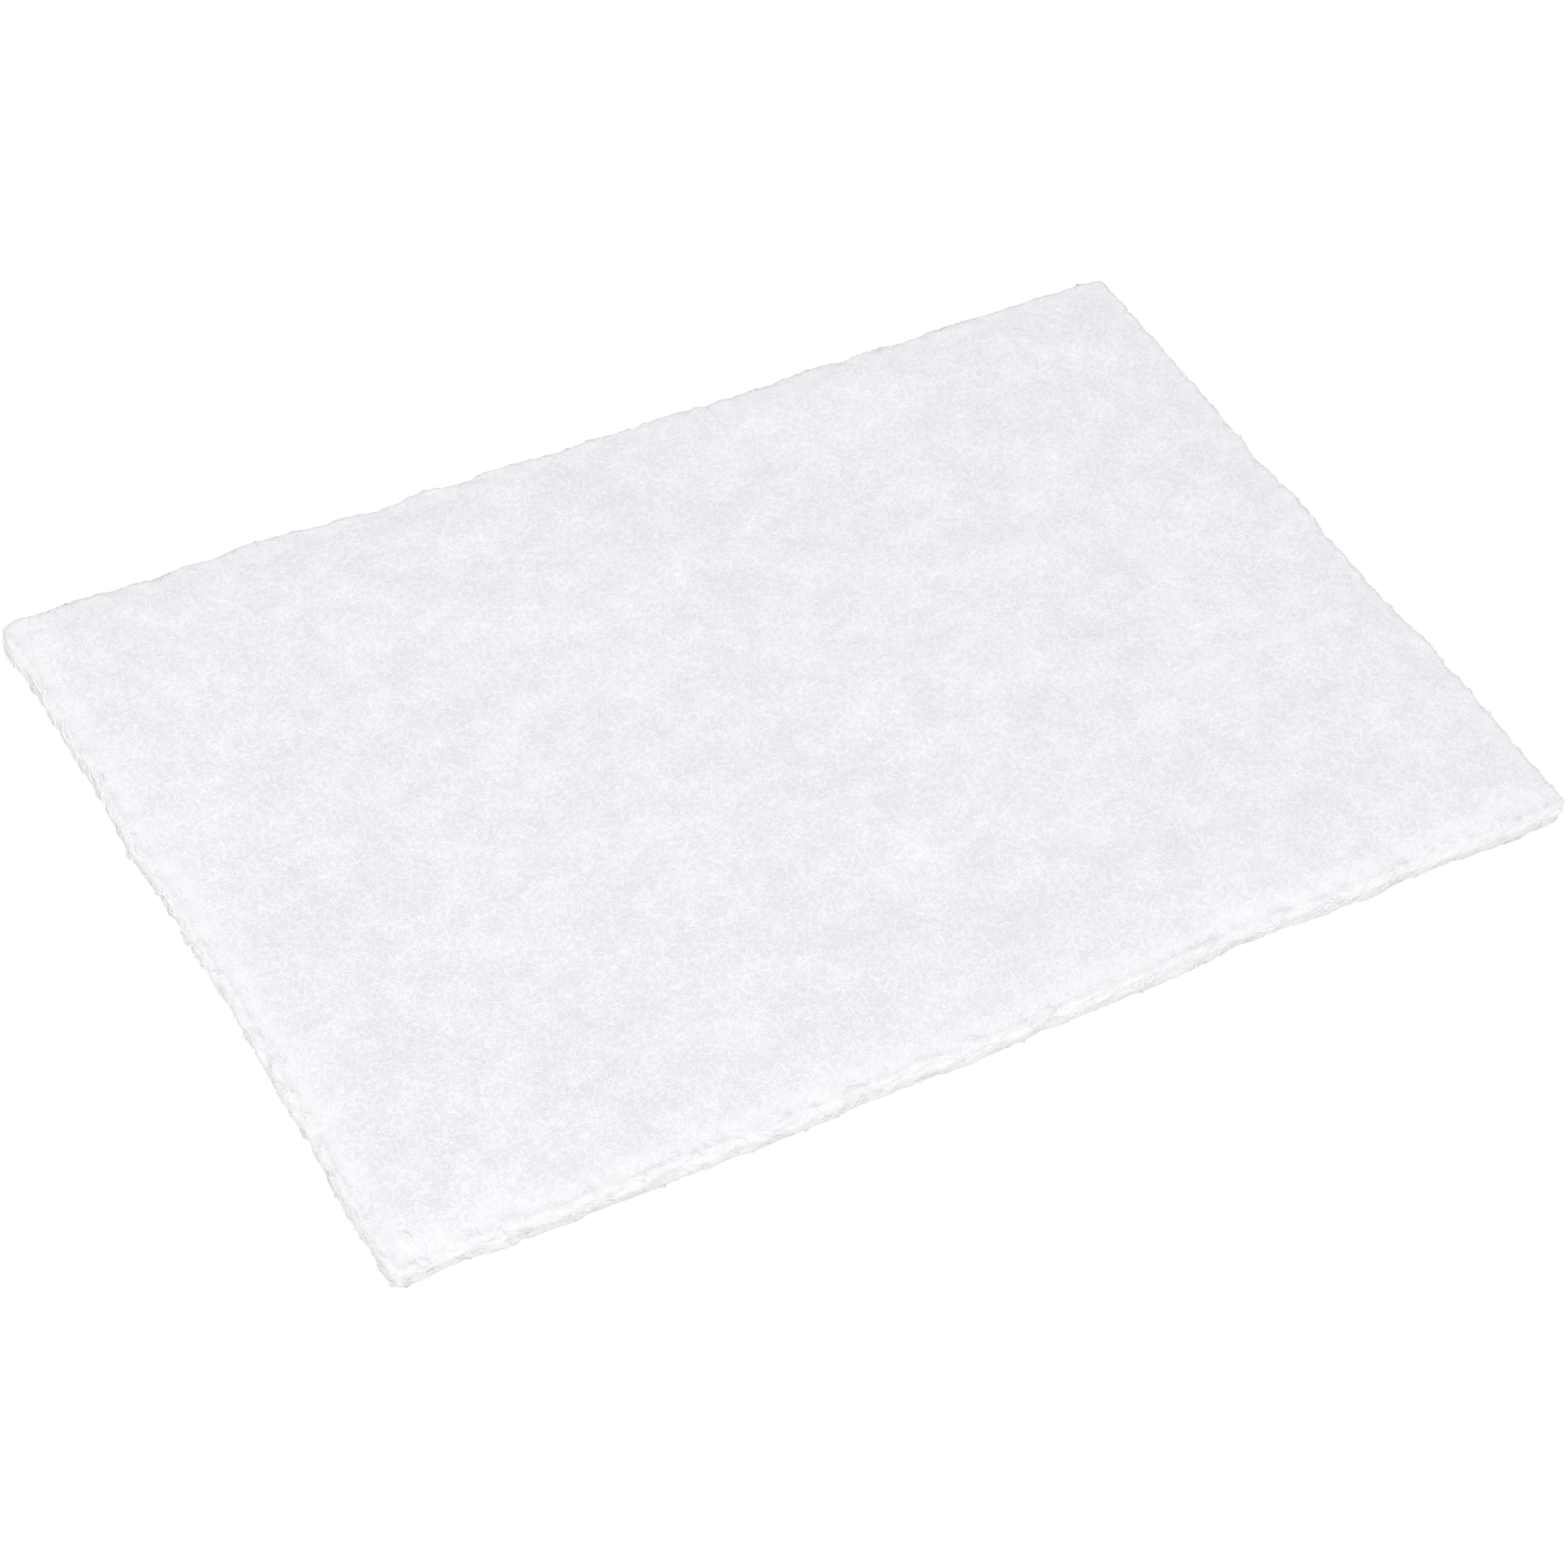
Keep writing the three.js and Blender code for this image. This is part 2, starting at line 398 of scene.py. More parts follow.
def body_lift(x, y):
    """How far the body's surface lies above its sunk mean at an unrolled place: gentle lumps
    everywhere, stronger tufts that set in by the quintic step just before the shoulder, and a roll
    down towards the shoulder that grows as a square and fades out again before the wall."""
    past = past_flat(x, y)
    at_edge = eased(np.clip(1 + past / EDGE_LUMP_REACH, 0, 1))
    before = np.clip(1 + past / EDGE_ROLL_REACH, 0, 1) ** 2
    after = 1 - eased(np.clip(past / SHOULDER_ARC, 0, 1))
    return layered(x, y, LUMPS) + at_edge * layered(x, y, EDGE_LUMPS) - EDGE_ROLL * before * after


def corners_of_solid():
    """The solid's own points, each once, in millimetres."""
    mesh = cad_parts[NODE].data
    flat = np.empty(len(mesh.vertices) * 3, np.float32)
    mesh.vertices.foreach_get("co", flat)
    return np.unique(np.round(flat.reshape(-1, 3) / MM, 3), axis=0)


def mean_in_cells(places, values, half, cell):
    """Mean value in each cell of a row from -half to half, with the empty cells filled from their
    neighbours. Gives the cells' middles and the means."""
    count = int(round(2 * half / cell))
    middles = -half + (np.arange(count) + 0.5) * (2 * half / count)
    which = np.clip(((places + half) / (2 * half) * count).astype(int), 0, count - 1)
    hits = np.bincount(which, minlength=count)
    total = np.bincount(which, weights=values, minlength=count)
    full = hits > 0
    return middles, np.interp(middles, middles[full], total[full] / hits[full])


SOLID = corners_of_solid()


def edge_line(side):
    """Wander of one cut edge of the solid, as places along it and how far it stands out of its mean
    line. side is (axis, sign): the axis that the edge faces along, and which way."""
    axis, sign = side
    half = (LENGTH, WIDTH)[axis] / 2
    other = (WIDTH, LENGTH)[axis] / 2
    out = sign * SOLID[:, axis] - half
    on_wall = (SOLID[:, 2] > FOOT_RADIUS - WALL_MARGIN) & (SOLID[:, 2] < THICKNESS - SHOULDER_RADIUS)
    between_corners = np.abs(SOLID[:, 1 - axis]) < other - WORN_CORNER_RADIUS
    near = (out > -WALL_DEPTH) & on_wall & between_corners
    return mean_in_cells(SOLID[near, 1 - axis], out[near], other, NET_CELL)


EDGE_LINES = {side: edge_line(side) for side in ((0, 1), (0, -1), (1, 1), (1, -1))}


def height_net():
    """Mean height of the solid's upper face in square cells, with the empty cells at the mean."""
    over_flat_x = np.abs(SOLID[:, 0]) < FLAT_X + TOP_MARGIN
    over_flat_y = np.abs(SOLID[:, 1]) < FLAT_Y + TOP_MARGIN
    top = (SOLID[:, 2] > THICKNESS / 2) & over_flat_x & over_flat_y
    columns = int(round(LENGTH / NET_CELL))
    rows = int(round(WIDTH / NET_CELL))
    spans = [[-LENGTH / 2, LENGTH / 2], [-WIDTH / 2, WIDTH / 2]]
    x, y, z = SOLID[top].T
    total, _, _ = np.histogram2d(x, y, bins=(columns, rows), range=spans, weights=z)
    hits, _, _ = np.histogram2d(x, y, bins=(columns, rows), range=spans)
    return np.where(hits > 0, total / np.maximum(hits, 1), z.mean())


HEIGHTS = height_net()


def top_height(x, y):
    """Height of the upper face at a place in plan: the cells of the solid's height net joined by
    straight lines in both directions."""
    columns, rows = HEIGHTS.shape
    gx = np.clip((x / LENGTH + 0.5) * columns - 0.5, 0, columns - 1.001)
    gy = np.clip((y / WIDTH + 0.5) * rows - 0.5, 0, rows - 1.001)
    i = gx.astype(int)
    j = gy.astype(int)
    fx = gx - i
    fy = gy - j
    near = HEIGHTS[i, j] * (1 - fx) + HEIGHTS[i + 1, j] * fx
    far = HEIGHTS[i, j + 1] * (1 - fx) + HEIGHTS[i + 1, j + 1] * fx
    return near * (1 - fy) + far * fy


def section_table():
    """The edge section from the upper face to the underside: distance down the skirt, inset from the
    outline, height, and the angle of the outward normal from straight up. Two quarter circles joined
    by a wall."""
    turn = np.linspace(0, math.pi / 2, ARC_POINTS)
    shoulder = np.stack([
        SHOULDER_RADIUS * turn,
        SHOULDER_RADIUS * (1 - np.sin(turn)),
        THICKNESS - SHOULDER_RADIUS * (1 - np.cos(turn)),
        turn,
    ])
    foot = np.stack([
        SHOULDER_ARC + WALL_HEIGHT + FOOT_RADIUS * turn,
        FOOT_RADIUS * (1 - np.cos(turn)),
        FOOT_RADIUS * (1 - np.sin(turn)),
        turn + math.pi / 2,
    ])
    return np.concatenate([shoulder, foot], axis=1)


SECTION = section_table()


def in_plan(u, v, inset):
    """Place in plan of a pair of shares of the half sides, on the outline drawn in by the inset.
    Squares round a corner's centre become arcs, and the wander of each cut edge fades out inside it."""
    half_x = LENGTH / 2 - inset
    half_y = WIDTH / 2 - inset
    x = u * half_x
    y = v * half_y
    full = np.where((u < 0) & (v > 0), WORN_CORNER_RADIUS, CORNER_RADIUS)
    radius = np.maximum(full - inset, SHARPEST_CORNER)
    past_x = np.maximum(np.abs(x) - (half_x - radius), 0)
    past_y = np.maximum(np.abs(y) - (half_y - radius), 0)
    both = (past_x > 0) & (past_y > 0)
    to_arc = np.maximum(past_x, past_y) / np.maximum(np.hypot(past_x, past_y), 1e-9)
    shrink = np.where(both, to_arc, 1.0)
    x = np.where(both, np.sign(x) * (half_x - radius + past_x * shrink), x)
    y = np.where(both, np.sign(y) * (half_y - radius + past_y * shrink), y)
    shift = [np.zeros_like(x), np.zeros_like(y)]
    for (axis, sign), (places, out) in EDGE_LINES.items():
        across = (x, y)[axis]
        along = (y, x)[axis]
        inside = np.maximum((LENGTH, WIDTH)[axis] / 2 - sign * across - inset, 0)
        reach = np.clip(inside / WANDER_REACH, 0, 1)
        fading = 1 - reach * reach * (3 - 2 * reach)
        shift[axis] = shift[axis] + sign * np.interp(along, places, out) * fading
    return x + shift[0], y + shift[1]


def skin(x, y, lift):
    """Point of the pad's skin for an unrolled place, raised by lift along the outward normal, and
    that normal. Inside the flat part the place is the plan. Past it, the distance down the skirt
    picks a ring of the edge section, and the place round that ring keeps its share of the side."""
    down = np.maximum(past_flat(x, y), 0)
    u = x / (FLAT_X + down)
    v = y / (FLAT_Y + down)
    inset = np.interp(down, SECTION[0], SECTION[1])
    level = np.interp(down, SECTION[0], SECTION[2])
    turn = np.interp(down, SECTION[0], SECTION[3])
    px, py = in_plan(u, v, inset)
    top = top_height(*in_plan(u, v, SHOULDER_RADIUS))
    share = (level - FOOT_RADIUS) / (THICKNESS - FOOT_RADIUS)
    z = np.where(level > FOOT_RADIUS, FOOT_RADIUS + share * (top - FOOT_RADIUS), level)
    over_x = np.maximum(np.abs(x) - FLAT_X, 0) ** 2 * np.sign(x)
    over_y = np.maximum(np.abs(y) - FLAT_Y, 0) ** 2 * np.sign(y)
    size = np.maximum(np.hypot(over_x, over_y), 1e-9)
    normal = np.stack([
        over_x / size * np.sin(turn),
        over_y / size * np.sin(turn),
        np.cos(turn),
    ], axis=-1)
    return np.stack([px, py, z], axis=-1) + lift[..., None] * normal, normal


def rows_of(half_flat):
    """Places of the net's lines across one side of the unrolled skin: even steps over the flat part,
    and finer even steps down the skirt on both sides."""
    flat = np.linspace(-half_flat, half_flat, int(round(2 * half_flat / BODY_CELL)) + 1)
    steps = int(round(SKIRT / SKIRT_CELL))
    skirt = half_flat + SKIRT * np.arange(1, steps + 1) / steps
    return np.concatenate([-skirt[::-1], flat, skirt])


def quads_of(index):
    """Corner numbers of the cells of a net, anticlockwise as seen from the side that the net faces."""
    corners = (index[:-1, :-1], index[1:, :-1], index[1:, 1:], index[:-1, 1:])
    return np.stack(corners, axis=-1).reshape(-1, 4)


def add_mesh(name, points, quads, triangles, material, smooth=True):
    """Mesh object at the origin from points in millimetres and the corner numbers of its faces."""
    mesh = bpy.data.meshes.new(name)
    mesh.vertices.add(len(points))
    mesh.vertices.foreach_set("co", (points * MM).astype(np.float32).ravel())
    corners = np.concatenate([quads.ravel(), triangles.ravel()]).astype(np.int32)
    mesh.loops.add(len(corners))
    mesh.loops.foreach_set("vertex_index", corners)
    sizes = np.concatenate([np.full(len(quads), 4), np.full(len(triangles), 3)])
    mesh.polygons.add(len(sizes))
    mesh.polygons.foreach_set("loop_start", (np.cumsum(sizes) - sizes).astype(np.int32))
    mesh.polygons.foreach_set("use_smooth", np.full(len(sizes), smooth))
    mesh.update(calc_edges=True)
    mesh.materials.append(material)
    made = bpy.data.objects.new(name, mesh)
    bpy.context.scene.collection.objects.link(made)
    return made


def add_values(piece, name, values):
    """A number for each point of a piece, for its material to read."""
    attribute = piece.data.attributes.new(name, "FLOAT", "POINT")
    attribute.data.foreach_set("value", values.astype(np.float32).ravel())


def web_body(material):
    """The lumpy body: a net over the unrolled skin, lowered by the body's sink and raised by the
    lumps, closed below by a second net that shares its outer line and rises a little off the ground
    between the edges."""
    x, y = np.meshgrid(rows_of(FLAT_X), rows_of(FLAT_Y), indexing="ij")
    down = np.maximum(past_flat(x, y), 0)
    to_foot = np.clip((SKIRT - down) / FOOT_RADIUS, 0, 1)
    upper, _ = skin(x, y, (body_lift(x, y) - BODY_SINK) * to_foot)
    upper[..., 2] = np.maximum(upper[..., 2], 0)

    u = x / (FLAT_X + SKIRT)
    v = y / (FLAT_Y + SKIRT)
    px, py = in_plan(u, v, FOOT_RADIUS + np.zeros_like(u))
    from_edge = np.minimum(FLAT_X + SKIRT - np.abs(x), FLAT_Y + SKIRT - np.abs(y))
    inside = np.minimum(from_edge / UNDERSIDE_REACH, 1)
    rise = (UNDERSIDE_RISE + layered(x + UNDERSIDE_SHIFT, y, LUMPS)) * inside
    lower = np.stack([px, py, np.maximum(rise, 0)], axis=-1)

    count = x.size
    above = np.arange(count).reshape(x.shape)
    below = above.copy()
    inner = (x.shape[0] - 2, x.shape[1] - 2)
    below[1:-1, 1:-1] = count + np.arange(inner[0] * inner[1]).reshape(inner)
    points = np.concatenate([upper.reshape(-1, 3), lower[1:-1, 1:-1].reshape(-1, 3)])
    quads = np.concatenate([quads_of(above), quads_of(below)[:, ::-1]])
    piece = add_mesh("web_body", points, quads, NO_TRIANGLES, material)

    under = thickness_of_web(x + UNDERSIDE_SHIFT, y)[1:-1, 1:-1]
    nothing = np.zeros(under.size)
    add_values(piece, "web_thickness", np.concatenate([thickness_of_web(x, y).ravel(), under.ravel()]))
    add_values(piece, "matted_rim", np.concatenate([matted_rim(x, y).ravel(), nothing]))
    # The shoulder values are the mask of the shoulder's painted shade.
    add_values(piece, "shoulder", np.concatenate([shoulder_shade_share(x, y).ravel(), nothing]))
    return piece


def scattered(count, half_x, half_y, rng, crowd):
    """Start places spread by chance over a rectangle, more of them where crowd, from 0 to 1, is
    high."""
    tries = count * FACE_TRIES
    x = rng.uniform(-half_x, half_x, tries)
    y = rng.uniform(-half_y, half_y, tries)
    kept = np.flatnonzero(rng.uniform(0, 1, tries) < crowd(x, y))[:count]
    return x[kept], y[kept]


def crimped_lines(x, y, rng, grain_share, steps=FIBRE_STEPS, step=FIBRE_STEP):
    """Unrolled centre lines of fibres, one row each. The heading along a fibre is its start heading,
    mostly along the grain, plus a long and a short sine crimp and a steady curl, which is strong in
    the share of fibres that make loops. The places are running sums of the step along the heading,
    moved so that the start place is the fibre's middle."""
    count = len(x)
    s = np.arange(steps + 1) * step
    along = rng.uniform(0, 1, count) < grain_share
    with_grain = rng.normal(GRAIN_TURN, GRAIN_SPREAD, count)
    heading = np.where(along, with_grain, rng.uniform(0, math.pi, count))
    crimp = rng.uniform(*LONG_CRIMP, count)[:, None]
    crimp_length = rng.uniform(*LONG_CRIMP_LENGTH, count)[:, None]
    short_crimp = rng.uniform(*SHORT_CRIMP, count)[:, None]
    short_length = rng.uniform(*SHORT_CRIMP_LENGTH, count)[:, None]
    looped = rng.uniform(0, 1, count) < LOOP_SHARE
    loop = rng.choice((-1, 1), count) * rng.uniform(*LOOP_CURL, count)
    curl = np.where(looped, loop, rng.normal(0, SLIGHT_CURL, count))
    phases = rng.uniform(0, 2 * math.pi, (2, count, 1))
    turn = heading[:, None] + curl[:, None] * (s - s.mean())
    turn = turn + crimp * np.sin(2 * math.pi * s / crimp_length + phases[0])
    turn = turn + short_crimp * np.sin(2 * math.pi * s / short_length + phases[1])
    px = np.cumsum(np.cos(turn), axis=1) * step
    py = np.cumsum(np.sin(turn), axis=1) * step
    return x[:, None] + px - px.mean(1, keepdims=True), y[:, None] + py - py.mean(1, keepdims=True)


def folded(places, limit):
    """Places past the limit on either side, turned back inside it by as much as they were past it."""
    return np.sign(places) * (limit - np.abs(limit - np.abs(places)))


def tubes(name, centre, normal, radius, height, material):
    """Closed three-sided tubes along rows of centre points. A ring at each point stands square to the
    line, in the plane of the skin's normal and the normal crossed with the line, with one corner
    outward. It is as high as the given share of its radius, and tapers towards both ends. The faces
    are shaded flat, so that a thin fibre has no dark rim."""
    rows, steps = centre.shape[:2]
    tangent = np.gradient(centre, axis=1)
    tangent /= np.linalg.norm(tangent, axis=-1, keepdims=True)
    side = np.cross(tangent, normal)
    side /= np.maximum(np.linalg.norm(side, axis=-1, keepdims=True), 1e-9)
    up = np.cross(side, tangent)
    t = np.linspace(0, 1, steps)
    taper = np.clip(TAPER * np.minimum(t, 1 - t) + END_RADIUS, 0, 1)
    size = (radius[:, None] * taper)[..., None, None]
    angles = math.pi / 2 + np.arange(TUBE_SIDES) * 2 * math.pi / TUBE_SIDES
    across = np.cos(angles)[:, None] * side[..., None, :]
    outward = height * np.sin(angles)[:, None] * up[..., None, :]
    points = centre[..., None, :] + size * (across + outward)
    index = np.arange(rows * steps * TUBE_SIDES).reshape(rows, steps, TUBE_SIDES)
    after = np.roll(index, -1, axis=2)
    corners = (index[:, :-1], after[:, :-1], after[:, 1:], index[:, 1:])
    quads = np.stack(corners, axis=-1).reshape(-1, 4)
    caps = np.concatenate([index[:, 0, ::-1], index[:, -1]])
    return add_mesh(name, points.reshape(-1, 3), quads, caps, material, smooth=False)


def arched(rows, rng, sunk, crest, ripple, steps=FIBRE_STEPS, step=FIBRE_STEP):
    """Lift of fibres above the body: sunk at both ends, an arch up to each fibre's own crest between
    them, which is a sine raised to a power below 1, and a sine ripple along it."""
    t = np.linspace(0, 1, steps + 1)
    s = t * steps * step
    crests = rng.uniform(*crest, rows)[:, None]
    lengths = rng.uniform(*RIPPLE_LENGTH, rows)[:, None]
    phase = rng.uniform(0, 2 * math.pi, (rows, 1))
    arch = np.clip(np.sin(math.pi * t), 0, 1) ** ARCH_FULLNESS
    return sunk + (crests - sunk) * arch + ripple * arch * np.sin(2 * math.pi * s / lengths + phase)


def fibres_on_skin(name, x, y, rng, material, crest, ripple, grain_share, height,
                   steps=FIBRE_STEPS, step=FIBRE_STEP):
    """Fibres with their middles at unrolled places, crimped, folded back at the foot, arched over
    the body and carried onto the skin."""
    ux, uy = crimped_lines(x, y, rng, grain_share, steps, step)
    ux = folded(ux, FLAT_X + SKIRT - FOLD_MARGIN)
    uy = folded(uy, FLAT_Y + SKIRT - FOLD_MARGIN)
    lift = arched(len(x), rng, FIBRE_SUNK, crest, ripple, steps, step) - BODY_SINK + body_lift(ux, uy)
    centre, normal = skin(ux, uy, lift)
    radius = FIBRE_RADIUS * rng.uniform(*RADIUS_SPREAD, len(x))
    centre[..., 2] = np.maximum(centre[..., 2], LOWEST_FIBRE)
    piece = tubes(name, centre, normal, radius, height, material)
    add_values(piece, "fibre_tint", np.repeat(rng.uniform(0, 1, len(x)), (steps + 1) * TUBE_SIDES))
    add_values(piece, "web_thickness", np.repeat(thickness_of_web(ux, uy).ravel(), TUBE_SIDES))
    add_values(piece, "matted_rim", np.repeat(matted_rim(ux, uy).ravel(), TUBE_SIDES))
    # The shoulder values are the mask of the shoulder's painted shade.
    add_values(piece, "shoulder", np.repeat(shoulder_shade_share(ux, uy).ravel(), TUBE_SIDES))
    return piece


def crowd_on_top(x, y):
    """How close together the fibres lie on the upper face: closer where the web is thick."""
    return LEAST_CROWD + (1 - LEAST_CROWD) * thickness_of_web(x, y)


def top_fibres(name, seed, material, crest, ripple):
    """One layer of the fibres that lie on the upper face."""
    rng = np.random.default_rng(seed)
    x, y = scattered(TOP_FIBRES, FLAT_X - FACE_MARGIN, FLAT_Y - FACE_MARGIN, rng, crowd_on_top)
    return fibres_on_skin(name, x, y, rng, material, crest, ripple, TOP_ALONG_GRAIN, FLAT_FIBRE)


def edge_places(count, rng, inner, outer):
    """Unrolled places spread by chance over the band from inner to outer past the flat part, all
    round."""
    half_x = FLAT_X + outer
    half_y = FLAT_Y + outer
    tries = count * EDGE_TRIES
    x = rng.uniform(-half_x, half_x, tries)
    y = rng.uniform(-half_y, half_y, tries)
    kept = np.flatnonzero(past_flat(x, y) > inner)[:count]
    return x[kept], y[kept]


def edge_fibres(material):
    """Fibres matted over the shoulder, the cut wall and the foot."""
    rng = np.random.default_rng(EDGE_SEED)
    x, y = edge_places(EDGE_FIBRES, rng, EDGE_FIBRES_FROM, SKIRT - EDGE_FIBRES_SHORT)
    return fibres_on_skin("edge_fibres", x, y, rng, material, EDGE_CREST, EDGE_RIPPLE,
                          EDGE_ALONG_GRAIN, EDGE_FLAT_FIBRE)


def stray_fibres(material):
    """Short fibre ends and loops that stand out of the cut edge."""
    rng = np.random.default_rng(STRAY_SEED)
    x, y = edge_places(STRAY_FIBRES, rng, STRAY_FIBRES_FROM, SKIRT - STRAY_FIBRES_SHORT)
    return fibres_on_skin("stray_fibres", x, y, rng, material, STRAY_CREST, STRAY_RIPPLE,
                          STRAY_ALONG_GRAIN, STRAY_FLAT_FIBRE, STRAY_STEPS, STRAY_STEP)


def underside_fibres(material):
    """Fibres on the underside, arched down from the body and held level with the ground."""
    rng = np.random.default_rng(UNDER_SEED)
    x, y = scattered(UNDER_FIBRES, FLAT_X - FACE_MARGIN, FLAT_Y - FACE_MARGIN, rng,
                     lambda x, y: np.ones_like(x))
    ux, uy = crimped_lines(x, y, rng, TOP_ALONG_GRAIN)
    px, py = in_plan(ux / (FLAT_X + FACE_MARGIN), uy / (FLAT_Y + FACE_MARGIN),
                     FOOT_RADIUS + np.zeros_like(ux))
    hang = arched(len(x), rng, UNDER_SUNK, UNDER_CREST, UNDER_RIPPLE)
    z = np.clip(UNDERSIDE_RISE - hang, LOWEST_FIBRE, None)
    centre = np.stack([px, py, z], axis=-1)
    normal = np.zeros_like(centre)
    normal[..., 2] = -1
    radius = FIBRE_RADIUS * rng.uniform(*UNDER_RADIUS_SPREAD, len(x))
    piece = tubes("underside_fibres", centre, normal, radius, FLAT_FIBRE, material)
    corners = (FIBRE_STEPS + 1) * TUBE_SIDES
    add_values(piece, "fibre_tint", np.repeat(rng.uniform(0, 1, len(x)), corners))
    add_values(piece, "web_thickness", np.full(len(x) * corners, UNDER_THICKNESS))
    return piece


def fleck(material):
    """A shaving of pale husk caught in the web near one corner: a short flat tube along a line that
    bows up as a parabola, fatter in its middle by the tubes' own taper."""
    t = np.linspace(-0.5, 0.5, FLECK_RINGS)
    ux = FLECK_PLACE[0] + t * FLECK_LENGTH * math.cos(FLECK_TURN)
    uy = FLECK_PLACE[1] + t * FLECK_LENGTH * math.sin(FLECK_TURN)
    lift = FLECK_LIFT + FLECK_BOW * (1 - 4 * t * t)
    centre, normal = skin(ux[None], uy[None], lift[None])
    return tubes("fleck", centre, normal, np.array([FLECK_RADIUS]), FLECK_FLATNESS, material)


def node(tree, kind, inputs=(), **settings):
    """A node with its settings, and its inputs set to a value or joined to another node's output."""
    made = tree.nodes.new(kind)
    for name, value in settings.items():
        setattr(made, name, value)
    for place, value in dict(inputs).items():
        if isinstance(value, bpy.types.NodeSocket):
            tree.links.new(value, made.inputs[place])
        else:
            made.inputs[place].default_value = value
    return made


def math_of(tree, operation, first, second=0.0, third=None, clamp=False):
    """Output of a math node."""
    values = {0: first, 1: second}
    if third is not None:
        values[2] = third
    return node(tree, "ShaderNodeMath", values, operation=operation, use_clamp=clamp).outputs[0]


def fading_out(tree, value, start, end):
    """1 up to the start, falling smoothly to 0 at the end."""
    return node(tree, "ShaderNodeMapRange", {
        "Value": value, "From Min": start, "From Max": end, "To Min": 1.0, "To Max": 0.0,
    }, interpolation_type="SMOOTHSTEP").outputs[0]


def mixed(tree, factor, low, high, blend="MIX"):
    """Output of a colour mix between two colours, each a value or another node's output."""
    made = node(tree, "ShaderNodeMix", {0: factor, 6: low, 7: high}, data_type="RGBA", blend_type=blend)
    return made.outputs[2]


def own_value(tree, name):
    """The number that a piece's points carry under a name."""
    made = node(tree, "ShaderNodeAttribute", attribute_name=name, attribute_type="GEOMETRY")
    return made.outputs["Fac"]


def crimped_web_group():
    """Node group: a net of crimped lines. Borders of drawn-out cells, bent by a noise, make the net,
    and the mid levels of smooth noises are curling fibres that cross it. Each layer covers a share of
    what the layers above it leave open. Gives how much line covers a place, and how high the lines
    stand."""
    group = bpy.data.node_groups.new("crimped_web", "ShaderNodeTree")
    face = group.interface
    face.new_socket("Vector", in_out="INPUT", socket_type="NodeSocketVector")
    face.new_socket("Cover", in_out="OUTPUT", socket_type="NodeSocketFloat")
    face.new_socket("Height", in_out="OUTPUT", socket_type="NodeSocketFloat")
    into = node(group, "NodeGroupInput")
    bend = node(group, "ShaderNodeTexNoise", {
        "Vector": into.outputs["Vector"], "Scale": WEB_BEND_SCALE, "Detail": 1.0,
    })
    centred = node(group, "ShaderNodeVectorMath", {
        0: bend.outputs["Color"], 1: (0.5, 0.5, 0.5),
    }, operation="SUBTRACT")
    bent = node(group, "ShaderNodeVectorMath", {
        0: centred.outputs[0], 1: (WEB_BEND, WEB_BEND, WEB_BEND), 2: into.outputs["Vector"],
    }, operation="MULTIPLY_ADD")
    open_share = None
    height = None
    for kind, turn, drawn_out, scale, width, strength, level in WEB_LINES:
        turned = node(group, "ShaderNodeMapping", {
            "Vector": bent.outputs[0],
            "Location": (scale * 0.001, turn * 0.01, 0.0),
            "Rotation": (0, 0, turn),
            "Scale": (drawn_out, 1.0, 1.0),
        }, vector_type="TEXTURE")
        if kind == "cells":
            away = node(group, "ShaderNodeTexVoronoi", {
                "Vector": turned.outputs[0], "Scale": scale,
            }, feature="DISTANCE_TO_EDGE").outputs["Distance"]
        else:
            noise = node(group, "ShaderNodeTexNoise", {
                "Vector": turned.outputs[0], "Scale": scale, "Detail": 0.0,
            })
            from_middle = math_of(group, "SUBTRACT", noise.outputs["Fac"], 0.5)
            away = math_of(group, "ABSOLUTE", from_middle)
        line = fading_out(group, away, 0.0, width)
        left_open = math_of(group, "MULTIPLY_ADD", line, -strength, 1.0)
        raised = math_of(group, "MULTIPLY", line, level)
        if open_share is None:
            open_share = left_open
            height = raised
        else:
            open_share = math_of(group, "MULTIPLY", open_share, left_open)
            height = math_of(group, "MAXIMUM", height, raised)
    out = node(group, "NodeGroupOutput")
    group.links.new(math_of(group, "SUBTRACT", 1.0, open_share), out.inputs["Cover"])
    group.links.new(height, out.inputs["Height"])
    return group


